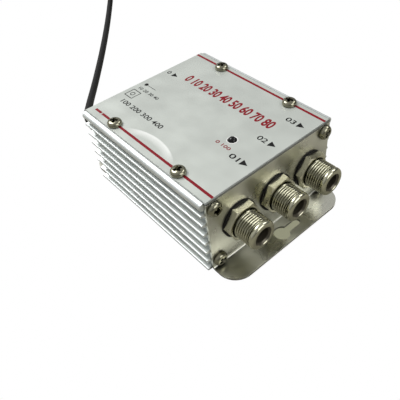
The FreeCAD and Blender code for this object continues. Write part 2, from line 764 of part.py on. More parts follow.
def plug_line():
    """Place and direction of the plug: it lies beside the coil, along its last turn."""
    angle = math.radians(COIL_END_ANGLE)
    outer = COIL_R + COIL_PITCH
    along = V(math.sin(angle), -math.cos(angle), 0)
    leave = V(COIL_X + outer * math.cos(angle), COIL_Y + outer * math.sin(angle), 0)
    return leave, along


def plug_point(distance, aside, z):
    """Point along and beside the line of the plug."""
    leave, along = plug_line()
    return leave + along * distance + V(-along.y, along.x, 0) * aside + Z_AXIS * z


def plug_body():
    """Moulded handle, as wide as its two pins need, with a tapered tail on the lead."""
    along = plug_line()[1]
    neck = PLUG_OUT + PLUG_TAIL_LEN
    wide = neck + PLUG_TAPER_LEN
    face = neck + PLUG_LEN
    plan = [(neck, PLUG_NECK_W / 2), (wide, PLUG_FACE_W / 2), (face, PLUG_FACE_W / 2)]
    plan += [(distance, -aside) for distance, aside in reversed(plan)]
    block = face_of([plug_point(distance, aside, CORD_GAP) for distance, aside in plan])
    block = block.extrude(Z_AXIS * PLUG_T)
    block = block.makeFillet(PLUG_EDGE_R, block.Edges)
    tail = turned([
        (0, 0), (PLUG_TAIL_R, 0), (PLUG_TAIL_ROOT_R, PLUG_TAIL_LEN),
        (PLUG_TAIL_ROOT_R, PLUG_TAIL_LEN + PLUG_NECK_W / 2), (0, PLUG_TAIL_LEN + PLUG_NECK_W / 2),
    ], plug_point(PLUG_OUT, 0, PLUG_Z), along)
    return fused([block, tail])


def plug_pins():
    """Two round-ended pins."""
    face = PLUG_OUT + PLUG_TAIL_LEN + PLUG_LEN
    pins = []
    for side in SIDES:
        start = plug_point(face, side * PIN_PITCH / 2, PLUG_Z)
        end = plug_point(face + PIN_LEN - PIN_R, side * PIN_PITCH / 2, PLUG_Z)
        pins.append(fused([rod(PIN_R, tuple(start), tuple(end)), Part.makeSphere(PIN_R, end)]))
    return pins


def cord_end():
    """Stretch of the lead between the coil and the plug."""
    start = plug_point(0, 0, COIL_MID_Z + COIL_PITCH)
    end = plug_point(PLUG_OUT + 1, 0, PLUG_Z)
    stretch = rod(CORD_R, tuple(start), tuple(end)).cut(coil()).cut(plug_body())
    return max(stretch.Solids, key=lambda solid: solid.Volume)


def cord_lead():
    """Stretch of the lead from the bushing to the coil."""
    lead = cord_tube(CORD_ROUTE).cut(coil())
    return max(lead.Solids, key=lambda solid: solid.Volume)


def build():
    """Write every node."""
    os.makedirs("parts", exist_ok=True)
    save("case_extrusion", case_extrusion())
    save("top_lid", lid_sheet(0, LID_Z, LID_TOP))
    save("lid_overlay", lid_sheet(FILM_INSET, LID_TOP, BODY_H))
    save("front_plate", front_plate())
    save("rear_plate", rear_plate())
    save("lid_screws", lid_screws())
    save("front_plate_screws", front_screws())
    save("rear_plate_screws", [to_rear(piece) for piece in front_screws()])
    for index, x in enumerate(OUT_PORT_X, 1):
        save("out_port_" + str(index), port(x))
    save("in_port", to_rear(port(-IN_PORT_X)))
    save("port_nuts", at_ports(port_nut))
    save("port_washers", at_ports(port_washer))
    save("port_insulators", at_ports(port_insulator))
    save("port_contacts", at_ports(port_contact))
    save("circuit_board", box(-BOARD_X, BOARD_X, -BOARD_Y, BOARD_Y, BOARD_Z, BOARD_TOP))
    save("shield_partition", box(-PARTITION_X, PARTITION_X, PARTITION_Y, PARTITION_Y + PARTITION_T,
                                 BOARD_TOP, BOARD_TOP + PARTITION_H))
    save("splitter_cores", [splitter_core(x, y) for x, y in CORE_PLACES])
    save("core_windings", [turn for x, y in CORE_PLACES for turn in core_windings(x, y)])
    save("rf_transistors", [transistor(x, y) for x, y in TRANSISTOR_PLACES])
    save("rf_chokes", [choke(x, y) for x, y in CHOKE_PLACES])
    save("filter_capacitors", [filter_can(CAN_X, y) for y in CAN_Y])
    save("rectifier_diodes", [diode(DIODE_X0 + k * DIODE_PITCH) for k in range(DIODE_COUNT)])
    save("voltage_regulator", voltage_regulator())
    save("transformer_core", transformer_core())
    save("transformer_winding", transformer_winding())
    save("ceramic_capacitors", chips(CERAMIC_PLACES, CERAMIC_H))
    save("resistors", chips(RESISTOR_PLACES, RESISTOR_H))
    save("status_lamp", lamp())
    save("lamp_leads", lamp_leads())
    save("cord_bushing", gland())
    save("power_wires", power_wires())
    save("power_cord", cord_lead())
    save("power_cord_coil", coil())
    save("power_cord_end", cord_end())
    save("cord_tie", cord_tie())
    save("plug_body", plug_body())
    save("plug_pins", plug_pins())


build()
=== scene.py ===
"""Television signal amplifier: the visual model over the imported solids.

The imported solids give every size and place. Pieces that need more than a solid shows, such as
threads, recessed screw heads, print and the power lead, are made here and stand for their solids.
Lengths are millimetres until a mesh is written, which turns them into metres.
"""

import logging
import math
from dataclasses import dataclass
from enum import Enum
from typing import Iterable, Optional, Protocol, Sequence

import bmesh
import bpy
from mathutils import Matrix, Vector

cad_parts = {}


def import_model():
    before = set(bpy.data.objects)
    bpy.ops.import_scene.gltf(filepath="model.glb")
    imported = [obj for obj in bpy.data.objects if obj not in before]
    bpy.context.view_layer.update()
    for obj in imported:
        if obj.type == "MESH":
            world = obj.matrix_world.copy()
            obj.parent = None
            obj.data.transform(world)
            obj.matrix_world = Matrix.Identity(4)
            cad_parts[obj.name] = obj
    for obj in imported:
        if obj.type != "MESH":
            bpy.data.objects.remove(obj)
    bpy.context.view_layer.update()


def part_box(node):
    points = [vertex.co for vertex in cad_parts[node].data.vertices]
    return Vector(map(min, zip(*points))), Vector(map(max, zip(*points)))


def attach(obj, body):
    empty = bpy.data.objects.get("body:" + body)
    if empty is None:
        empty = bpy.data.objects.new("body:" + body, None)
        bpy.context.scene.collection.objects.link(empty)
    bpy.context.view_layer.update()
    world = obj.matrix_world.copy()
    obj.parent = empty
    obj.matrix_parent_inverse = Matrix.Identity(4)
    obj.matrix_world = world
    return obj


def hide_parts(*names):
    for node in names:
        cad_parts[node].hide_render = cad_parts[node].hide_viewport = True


LOG = logging.getLogger("amplifier")
MM = 0.001
PORTS = ("out_port_1", "out_port_2", "out_port_3", "in_port")
BODY = "root"
SCREW_HEAD_R = 2.35
Y_AXIS = Vector((0, 1, 0))
Z_AXIS = Vector((0, 0, 1))

BMesh = bmesh.types.BMesh
Socket = bpy.types.NodeSocket
Colour = tuple[float, float, float]
Profile = Sequence[tuple[float, float]]


class Grain(Enum):
    """What breaks up a surface."""

    SMOOTH = "smooth"
    DRAWN = "drawn"
    ROLLED = "rolled"
    PLATED = "plated"
    MOULDED = "moulded"
    FILM = "film"


@dataclass(frozen=True)
class Finish:
    """Look of one material.

    Args:
        name: name of the material.
        slot: material slot of the record that it belongs to; not used.
        colour: base colour, linear.
        metallic: 0 for plastics, 1 for metals.
        roughness: mean roughness.
        grain: what breaks the surface up.
        relief: height of the grain, in millimetres.
        coat: weight of a clear coat.
        edge: radius of the softened edges, in millimetres.
        crevice: reach of the painted shade in corners and grooves, in millimetres.
        depth: how much of the colour the painted shade leaves in the narrowest of them.
        shine: strength of the reflection, for plastics and inks.
    """

    name: str
    slot: str
    colour: Colour
    metallic: float = 0.0
    roughness: float = 0.5
    grain: Grain = Grain.SMOOTH
    relief: float = 0.0
    coat: float = 0.0
    edge: float = 0.0
    crevice: float = 0.0
    depth: float = 0.3
    shine: float = 0.5


ALUMINIUM = Finish("drawn_aluminium", "channel", (0.82, 0.86, 0.85), 0.85, 0.42, Grain.DRAWN, crevice=3.0,
                   depth=0.8)
LID_STEEL = Finish("lid_sheet", "lid", (0.32, 0.33, 0.32), 1.0, 0.45, Grain.ROLLED, 0.001)
FILM = Finish("printed_film", "film", (0.54, 0.57, 0.53), 0.35, 0.36, Grain.FILM, 0.006, coat=0.25)
NICKEL_SHEET = Finish("nickel_sheet", "plate", (0.80, 0.80, 0.70), 1.0, 0.29, Grain.ROLLED, edge=0.1,
                      crevice=9.0, depth=0.3)
NICKEL = Finish("nickel_plate", "port", (0.57, 0.56, 0.42), 1.0, 0.18, Grain.PLATED, crevice=0.7, depth=0.10)
NUT_NICKEL = Finish("nut_plate", "nut", (0.70, 0.68, 0.52), 1.0, 0.30, Grain.PLATED, crevice=0.8, depth=0.5)
SCREW_METAL = Finish("screw_plate", "screw", (0.31, 0.30, 0.22), 1.0, 0.20, Grain.PLATED, crevice=1.4,
                     depth=0.03)
WASHER = Finish("black_washer", "washer", (0.006, 0.006, 0.006), 0.0, 0.5, Grain.MOULDED, 0.005, shine=0.2)
# Painted shade: a dark lining inside each port's bore.
BORE_SHADE = Finish("bore_shade", "port", (0.10, 0.09, 0.065), 0.6, 0.30)
# Painted shade: the insulator's plastic is white, coloured dark here for the shade deep in the bore.
INSULATOR_IN_SHADE = Finish("bore_plastic_shaded", "insulator", (0.07, 0.065, 0.05), 0.0, 0.5, Grain.MOULDED, 0.01)
CONTACT = Finish("contact_metal", "contact", (0.75, 0.60, 0.30), 1.0, 0.25, Grain.PLATED, 0.002)
CORD = Finish("cord_plastic", "cord_plastic", (0.006, 0.006, 0.006), 0.0, 0.50, Grain.MOULDED, 0.002,
              shine=0.25)
TIE = Finish("tie_plastic", "tie", (0.02, 0.02, 0.02), 0.0, 0.35, Grain.MOULDED, 0.01)
PIN_METAL = Finish("pin_plate", "plug_metal", (0.78, 0.77, 0.74), 1.0, 0.18, Grain.PLATED, 0.002)
LAMP = Finish("lamp_lens", "lamp", (0.004, 0.004, 0.004), 0.0, 0.08, shine=0.3)
BOARD = Finish("solder_mask", "board", (0.02, 0.12, 0.04), 0.0, 0.3, Grain.MOULDED, 0.01, coat=0.4)
TINPLATE = Finish("tinplate", "tinplate", (0.62, 0.62, 0.61), 1.0, 0.3, Grain.ROLLED, 0.004)
FERRITE = Finish("ferrite", "ferrite", (0.05, 0.05, 0.055), 0.0, 0.7, Grain.MOULDED, 0.03)
COPPER = Finish("enamelled_copper", "enamelled_wire", (0.55, 0.22, 0.08), 1.0, 0.3, coat=0.5)
CHIP = Finish("chip_plastic", "chip", (0.025, 0.025, 0.028), 0.0, 0.5, Grain.MOULDED, 0.01)
CAN_SLEEVE = Finish("can_sleeve", "can", (0.03, 0.05, 0.14), 0.0, 0.3, Grain.MOULDED, 0.01, coat=0.4)
CERAMIC = Finish("ceramic", "ceramic", (0.45, 0.28, 0.14), 0.0, 0.35, Grain.MOULDED, 0.01)
WIRE = Finish("wire_jacket", "wire_jacket", (0.35, 0.02, 0.02), 0.0, 0.4, Grain.MOULDED, 0.01)
RED_INK = Finish("red_ink", "film", (0.20, 0.003, 0.010), 0.0, 0.45, shine=0.2)
BLACK_INK = Finish("black_ink", "film", (0.006, 0.006, 0.006), 0.0, 0.45, shine=0.2)
PALE_RING = Finish("pale_ring", "film", (0.80, 0.80, 0.78), 0.0, 0.45, shine=0.3)

NODE_FINISHES: dict[Finish, tuple[str, ...]] = {
    ALUMINIUM: ("case_extrusion",),
    LID_STEEL: ("top_lid",),
    FILM: ("lid_overlay",),
    NICKEL_SHEET: ("front_plate", "rear_plate"),
    INSULATOR_IN_SHADE: ("port_insulators",),
    CONTACT: ("port_contacts",),
    BOARD: ("circuit_board",),
    TINPLATE: ("shield_partition", "transformer_core", "lamp_leads"),
    FERRITE: ("splitter_cores", "rf_chokes"),
    COPPER: ("core_windings", "transformer_winding"),
    CHIP: ("rf_transistors", "rectifier_diodes", "voltage_regulator", "resistors"),
    CAN_SLEEVE: ("filter_capacitors",),
    CERAMIC: ("ceramic_capacitors",),
    WIRE: ("power_wires",),
    TIE: ("cord_tie",),
    CORD: ("plug_body",),
    PIN_METAL: ("plug_pins",),
}


class Value:
    """A number inside a shader, which takes Python's operators."""

    def __init__(self, graph: "Graph", socket: Socket) -> None:
        """Keep the graph, and the socket that gives the number."""
        self.graph = graph
        self.socket = socket

    def __add__(self, other: "Operand") -> "Value":
        """Sum."""
        return self.graph.math("ADD", self, other)

    def __sub__(self, other: "Operand") -> "Value":
        """Difference."""
        return self.graph.math("SUBTRACT", self, other)

    def __mul__(self, other: "Operand") -> "Value":
        """Product."""
        return self.graph.math("MULTIPLY", self, other)

    def __truediv__(self, other: "Operand") -> "Value":
        """Quotient."""
        return self.graph.math("DIVIDE", self, other)


Operand = Value | float


class Graph:
    """Node graph of one material or of the surroundings."""

    def __init__(self, owner: bpy.types.ID) -> None:
        """Start an empty graph.

        Args:
            owner: the material or the world.
        """
        owner.use_nodes = True
        self.owner = owner
        self.nodes = owner.node_tree.nodes
        self.links = owner.node_tree.links
        self.nodes.clear()

    def node(self, kind: str, **settings: object) -> bpy.types.Node:
        """Add a node.

        Args:
            kind: its bl_idname.
            settings: its attributes.

        Returns:
            The node.
        """
        node = self.nodes.new(kind)
        for key, value in settings.items():
            setattr(node, key, value)
        return node

    def feed(self, socket: Socket, value: object) -> None:
        """Link a value to a socket, or set it there.

        Args:
            socket: the input.
            value: a Value, an output socket, or a plain number or tuple.
        """
        if isinstance(value, Value):
            self.links.new(value.socket, socket)
        elif isinstance(value, Socket):
            self.links.new(value, socket)
        else:
            socket.default_value = value

    def math(self, operation: str, *operands: Operand) -> Value:
        """One step of arithmetic.

        Args:
            operation: the operation's name.
            operands: one to three values.

        Returns:
            The result.
        """
        node = self.node("ShaderNodeMath", operation=operation)
        for socket, operand in zip(node.inputs, operands):
            self.feed(socket, operand)
        return Value(self, node.outputs[0])

    def place(self) -> Socket:
        """Place on the object, as a vector in metres."""
        return self.node("ShaderNodeTexCoord").outputs["Object"]

    def axes(self) -> tuple[Value, Value, Value]:
        """Place on the object.

        Returns:
            Its X, Y and Z, in millimetres.
        """
        split = self.node("ShaderNodeSeparateXYZ")
        self.feed(split.inputs[0], self.place())
        x, y, z = (Value(self, socket) / MM for socket in split.outputs)
        return x, y, z

    def noise(self, scale: float, stretch: Colour = (1, 1, 1)) -> Value:
        """Smooth noise.

        Args:
            scale: cells for each millimetre.
            stretch: factor along each axis.

        Returns:
            Noise from 0 to 1.
        """
        mapping = self.node("ShaderNodeMapping")
        self.feed(mapping.inputs["Vector"], self.place())
        mapping.inputs["Scale"].default_value = [part * scale / MM for part in stretch]
        texture = self.node("ShaderNodeTexNoise")
        self.feed(texture.inputs["Vector"], mapping.outputs[0])
        texture.inputs["Scale"].default_value = 1.0
        texture.inputs["Detail"].default_value = 1.0
        return Value(self, texture.outputs["Fac"])

    def ramp(self, value: Value, low: float, high: float, start: float, end: float) -> Value:
        """Map a range onto another, held at both ends.

        Args:
            value: what is mapped.
            low: its value at start.
            high: its value at end.
            start: the result at low.
            end: the result at high.

        Returns:
            The mapped value.
        """
        node = self.node("ShaderNodeMapRange")
        for socket, number in zip(node.inputs, (value, low, high, start, end)):
            self.feed(socket, number)
        return Value(self, node.outputs[0])

    def blend(self, factor: Operand, first: object, second: object) -> Socket:
        """Mix two colours.

        Args:
            factor: 0 for the first, 1 for the second.
            first: a colour or its socket.
            second: a colour or its socket.

        Returns:
            The mixed colour.
        """
        node = self.node("ShaderNodeMix", data_type="RGBA")
        self.feed(node.inputs["Factor"], factor)
        colours = [socket for socket in node.inputs if socket.type == "RGBA"]
        for socket, colour in zip(colours, (first, second)):
            self.feed(socket, (*colour, 1.0) if isinstance(colour, tuple) else colour)
        return next(socket for socket in node.outputs if socket.type == "RGBA")

    def soft_edges(self, radius: float) -> Optional[Socket]:
        """Normal that rounds sharp edges.

        Args:
            radius: radius in millimetres; 0 leaves the edges sharp.

        Returns:
            The normal, or None.
        """
        if radius <= 0:
            return None
        node = self.node("ShaderNodeBevel", samples=4)
        node.inputs["Radius"].default_value = radius * MM
        return node.outputs[0]

    def openness(self, reach: float) -> Value:
        """How open the surroundings of a place are, from 0 to 1.

        Args:
            reach: how far it looks, in millimetres.

        Returns:
            The openness.
        """
        node = self.node("ShaderNodeAmbientOcclusion", samples=16)
        node.inputs["Distance"].default_value = reach * MM
        return Value(self, node.outputs["AO"])

    def tint(self, colour: Socket, factor: Value) -> Socket:
        """Darken a colour.

        Args:
            colour: the colour.
            factor: what it is multiplied by.

        Returns:
            The darker colour.
        """
        node = self.node("ShaderNodeVectorMath", operation="SCALE")
        self.feed(node.inputs[0], colour)
        self.feed(node.inputs["Scale"], factor)
        return node.outputs[0]

    def bump(self, height: Optional[Value], relief: float, normal: object) -> object:
        """Normal with fine relief on it.

        Args:
            height: relief from 0 to 1, or None for none.
            relief: its height in millimetres.
            normal: the normal under it, or None.

        Returns:
            The normal, or None.
        """
        if height is None or relief <= 0:
            return normal
        node = self.node("ShaderNodeBump")
        node.inputs["Distance"].default_value = relief * MM
        self.feed(node.inputs["Height"], height)
        if normal is not None:
            self.feed(node.inputs["Normal"], normal)
        return node.outputs[0]

    def principled(self, finish: Finish, colour: object, roughness: Operand, normal: object) -> None:
        """Finish the graph with one surface shader.

        Args:
            finish: fixed settings.
            colour: base colour or its socket.
            roughness: roughness.
            normal: normal, or None.
        """
        shader = self.node("ShaderNodeBsdfPrincipled")
        self.feed(shader.inputs["Base Color"], (*colour, 1.0) if isinstance(colour, tuple) else colour)
        self.feed(shader.inputs["Roughness"], roughness)
        shader.inputs["Metallic"].default_value = finish.metallic
        shader.inputs["Coat Weight"].default_value = finish.coat
        shader.inputs["Specular IOR Level"].default_value = finish.shine
        if normal is not None:
            self.feed(shader.inputs["Normal"], normal)
        self.end(shader)

    def end(self, shader: bpy.types.Node, kind: str = "Material") -> None:
        """Lead a shader to the output.

        Args:
            shader: the last node.
            kind: Material or World.
        """
        output = self.node("ShaderNodeOutput" + kind)
        self.feed(output.inputs["Surface"], shader.outputs[0])


# The painted highlight of a lamp on the bulging film follows a circle: its middle, radius and colour.
HIGHLIGHT_AT = (-39.6, 0.0)
HIGHLIGHT_R = 22.2
HIGHLIGHT_COLOUR = (0.97, 0.98, 0.95)

# What the broad patches leave of the colour, their cells for each millimetre, the openness at which
# the painted shade is full and none, and how far the roughness spreads about its mean.
DARK_SHARE = 0.94
BROAD_SCALE = 0.12
OPENNESS = (0.25, 0.9)
ROUGH_SPREAD = (0.8, 1.25)

# Cells for each millimetre, and the factor along each axis.
GRAIN_SCALES: dict[Grain, tuple[float, Colour]] = {
    Grain.DRAWN: (1.0, (1.5, 0.02, 1.5)),
    Grain.ROLLED: (0.5, (0.4, 0.4, 0.8)),
    Grain.PLATED: (1.2, (1.0, 1.0, 1.0)),
    Grain.MOULDED: (6.0, (1.0, 1.0, 1.0)),
    Grain.FILM: (0.25, (1.0, 0.5, 1.0)),
}


class Palette:
    """Makes each material once."""

    def __init__(self) -> None:
        """Start with no materials."""
        self.made: dict[str, bpy.types.Material] = {}

    def material(self, finish: Finish) -> bpy.types.Material:
        """Material of a finish.

        Args:
            finish: its look.

        Returns:
            The material, made at its first use.
        """
        if finish.name not in self.made:
            self.made[finish.name] = self.build(finish)
        return self.made[finish.name]

    def build(self, finish: Finish) -> bpy.types.Material:
        """Build the graph of one finish.

        Args:
            finish: its look.

        Returns:
            The material.
        """
        graph = Graph(bpy.data.materials.new(finish.name))
        normal = graph.soft_edges(finish.edge)
        if finish.grain is Grain.SMOOTH:
            graph.principled(finish, finish.colour, finish.roughness, normal)
            return graph.owner
        scale, stretch = GRAIN_SCALES[finish.grain]
        fine = graph.noise(scale, stretch)
        broad = graph.noise(BROAD_SCALE)
        dark = tuple(part * DARK_SHARE for part in finish.colour)
        colour = graph.blend(graph.ramp(broad, 0.35, 0.65, 0.0, 1.0), dark, finish.colour)
        # The film gets a painted highlight.
        if finish.grain is Grain.FILM:
            colour = self.lifted(graph, colour)
        # Painted shade: the colour darkens where the surroundings close in, in corners, grooves and
        # recesses.
        if finish.crevice > 0:
            open_part = graph.openness(finish.crevice)
            colour = graph.tint(colour, graph.ramp(open_part, *OPENNESS, finish.depth, 1.0))
        mixed = fine * 0.5 + broad * 0.5
        roughness = graph.ramp(mixed, 0.3, 0.7, *(finish.roughness * share for share in ROUGH_SPREAD))
        graph.principled(finish, colour, roughness, graph.bump(fine, finish.relief, normal))
        return graph.owner

    def lifted(self, graph: Graph, colour: Socket) -> Socket:
        """Painted highlight: a pale crescent, a lamp's reflection where the film bulges between two screws.

        Args:
            graph: the film's graph.
            colour: colour of the film.

        Returns:
            The colour with the crescent in it.
        """
        x, y, _ = graph.axes()
        x_off = x - HIGHLIGHT_AT[0]
        y_off = y - HIGHLIGHT_AT[1]
        far = graph.math("SQRT", x_off * x_off + y_off * y_off)
        rise = graph.ramp(far, HIGHLIGHT_R - 2.6, HIGHLIGHT_R - 0.3, 0.0, 1.0)
        fall = graph.ramp(far, HIGHLIGHT_R - 0.1, HIGHLIGHT_R + 0.3, 1.0, 0.0)
        ends = graph.ramp(graph.math("ABSOLUTE", y_off), 7.0, 12.0, 1.0, 0.0)
        return graph.blend(rise * fall * ends * 0.65, colour, HIGHLIGHT_COLOUR)


def linked(name: str, data: bpy.types.ID) -> bpy.types.Object:
    """New object in the scene.

    Args:
        name: its name.
        data: its mesh, curve, light or camera.

    Returns:
        The object.
    """
    obj = bpy.data.objects.new(name, data)
    bpy.context.scene.collection.objects.link(obj)
    return obj


class Shop:
    """Makes pieces, dresses them and puts them on the body."""

    def __init__(self, palette: Palette) -> None:
        """Keep the palette.

        Args:
            palette: where materials come from.
        """
        self.palette = palette

    def dress(self, piece: bpy.types.Object, finish: Finish) -> None:
        """Give a piece one material.

        Args:
            piece: mesh or curve.
            finish: its look.
        """
        piece.data.materials.clear()
        piece.data.materials.append(self.palette.material(finish))
        LOG.info("%s is made of %s", piece.name, finish.name)

    def place(self, piece: bpy.types.Object, finish: Finish, nodes: Sequence[str] = ()) -> None:
        """Dress a new piece and let it ride on the body.

        Args:
            piece: the piece.
            finish: its look.
            nodes: solids that it stands for.
        """
        self.dress(piece, finish)
        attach(piece, BODY)
        if nodes:
            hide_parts(*nodes)

    def piece(self, name: str, mesh: BMesh, finish: Finish, nodes: Sequence[str] = (),
              smooth: float = 30.0) -> None:
        """Turn a bmesh in millimetres into a dressed piece.

        Args:
            name: name of the piece.
            mesh: its shape; it is freed.
            finish: its look.
            nodes: solids that it stands for.
            smooth: angle in degrees under which faces shade smoothly; 0 for flat faces.
        """
        bmesh.ops.scale(mesh, vec=(MM, MM, MM), verts=mesh.verts)
        data = bpy.data.meshes.new(name)
        mesh.to_mesh(data)
        mesh.free()
        if smooth > 0:
            data.shade_smooth()
            data.set_sharp_from_angle(angle=math.radians(smooth))
        self.place(linked(name, data), finish, nodes)


class Part(Protocol):
    """Sub-assembly that is made in a shop."""

    def build(self, shop: Shop) -> None:
        """Make its pieces."""


def facing(axis: Vector, at: Vector) -> Matrix:
    """Matrix that turns +Z to an axis and moves the origin to a place."""
    return Matrix.Translation(at) @ Z_AXIS.rotation_difference(axis).to_matrix().to_4x4()


def merged(mesh: BMesh, reach: float) -> BMesh:
    """Merge doubles, and sort what is left, because merging gives another order each run.

    Args:
        mesh: the mesh; it is freed.
        reach: distance under which two vertices are doubles.

    Returns:
        The merged mesh with its faces turned outward.
    """
    bmesh.ops.remove_doubles(mesh, verts=mesh.verts, dist=reach)
    verts = sorted(mesh.verts, key=lambda vert: vert.co[:])
    place_of = {vert: place for place, vert in enumerate(verts)}
    rings = sorted([place_of[vert] for vert in face.verts] for face in mesh.faces)
    result = bmesh.new()
    made = [result.verts.new(vert.co) for vert in verts]
    for ring in rings:
        result.faces.new([made[place] for place in ring])
    mesh.free()
    bmesh.ops.recalc_face_normals(result, faces=result.faces)
    return result


def revolve(profile: Profile, at: Sequence[float], axis: Vector, steps: int = 64) -> BMesh:
    """Turn a profile about an axis.

    Args:
        profile: (radius, distance along the axis) points; a closed outline repeats its first point.
        at: where the axis starts.
        axis: its direction.
        steps: facets round the axis.

    Returns:
        The turned mesh.
    """
    mesh = bmesh.new()
    verts = [mesh.verts.new((radius, 0, along)) for radius, along in profile]
    for first, second in zip(verts, verts[1:]):
        mesh.edges.new((first, second))
    geometry = list(mesh.verts) + list(mesh.edges)
    bmesh.ops.spin(mesh, geom=geometry, cent=(0, 0, 0), axis=(0, 0, 1), angle=math.tau, steps=steps,
                   use_merge=True)
    mesh = merged(mesh, 1e-4)
    bmesh.ops.transform(mesh, matrix=facing(axis, Vector(at)), verts=mesh.verts)
    return mesh


def arc(centre: tuple[float, float], radius: float, start: float, end: float,
        count: int) -> list[tuple[float, float]]:
    """Points of an arc in a profile.

    Args:
        centre: its centre.
        radius: its radius.
        start: first angle in degrees.
        end: last angle in degrees.
        count: number of points.

    Returns:
        The points, both ends included.
    """
    points = []
    for index in range(count):
        angle = math.radians(start + (end - start) * index / (count - 1))
        points.append((centre[0] + radius * math.cos(angle), centre[1] + radius * math.sin(angle)))
    return points


def spun(mesh: BMesh, turn: float) -> None:
    """Turn a bmesh about Z.

    Args:
        mesh: what is turned.
        turn: angle in degrees.
    """
    matrix = Matrix.Rotation(math.radians(turn), 3, "Z")
    bmesh.ops.rotate(mesh, cent=(0, 0, 0), matrix=matrix, verts=mesh.verts)


def joined(meshes: Iterable[BMesh]) -> BMesh:
    """Put several bmeshes together.

    Args:
        meshes: the bmeshes; they are freed.

    Returns:
        One bmesh with all of them.
    """
    result = bmesh.new()
    for mesh in meshes:
        data = bpy.data.meshes.new("joining")
        mesh.to_mesh(data)
        mesh.free()
        result.from_mesh(data)
        bpy.data.meshes.remove(data)
    return result


def block(low: Sequence[float], high: Sequence[float]) -> BMesh:
    """Block between two corners.

    Args:
        low: its lowest corner.
        high: its highest corner.

    Returns:
        The block.
    """
    mesh = bmesh.new()
    middle = [(a + b) / 2 for a, b in zip(low, high)]
    size = [b - a for a, b in zip(low, high)]
    bmesh.ops.create_cube(mesh, size=1.0)
    bmesh.ops.scale(mesh, vec=size, verts=mesh.verts)
    bmesh.ops.translate(mesh, vec=middle, verts=mesh.verts)
    return mesh


def cut(mesh: BMesh, cutter: BMesh) -> BMesh:
    """Take one bmesh away from another.

    Args:
        mesh: what is cut; it is freed.
        cutter: what is taken away; it is freed.

    Returns:
        What is left.
    """
    objects = []
    for name, source in (("cut_from", mesh), ("cut_with", cutter)):
        data = bpy.data.meshes.new(name)
        source.to_mesh(data)
        source.free()
        objects.append(linked(name, data))
    modifier = objects[0].modifiers.new("cut", "BOOLEAN")
    modifier.operation = "DIFFERENCE"
    modifier.solver = "EXACT"
    modifier.object = objects[1]
    view = bpy.context.evaluated_depsgraph_get()
    result = bmesh.new()
    result.from_mesh(objects[0].evaluated_get(view).to_mesh())
    for obj in objects:
        data = obj.data
        bpy.data.objects.remove(obj)
        bpy.data.meshes.remove(data)
    return result


@dataclass
class NodeBox:
    """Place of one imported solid, in millimetres.

    Args:
        node: name of the node.
    """

    node: str

    def corners(self) -> tuple[Vector, Vector]:
        """Lowest and highest corner."""
        low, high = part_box(self.node)
        return Vector(low) / MM, Vector(high) / MM

    def middle(self) -> Vector:
        """Middle of the box."""
        low, high = self.corners()
        return (low + high) / 2


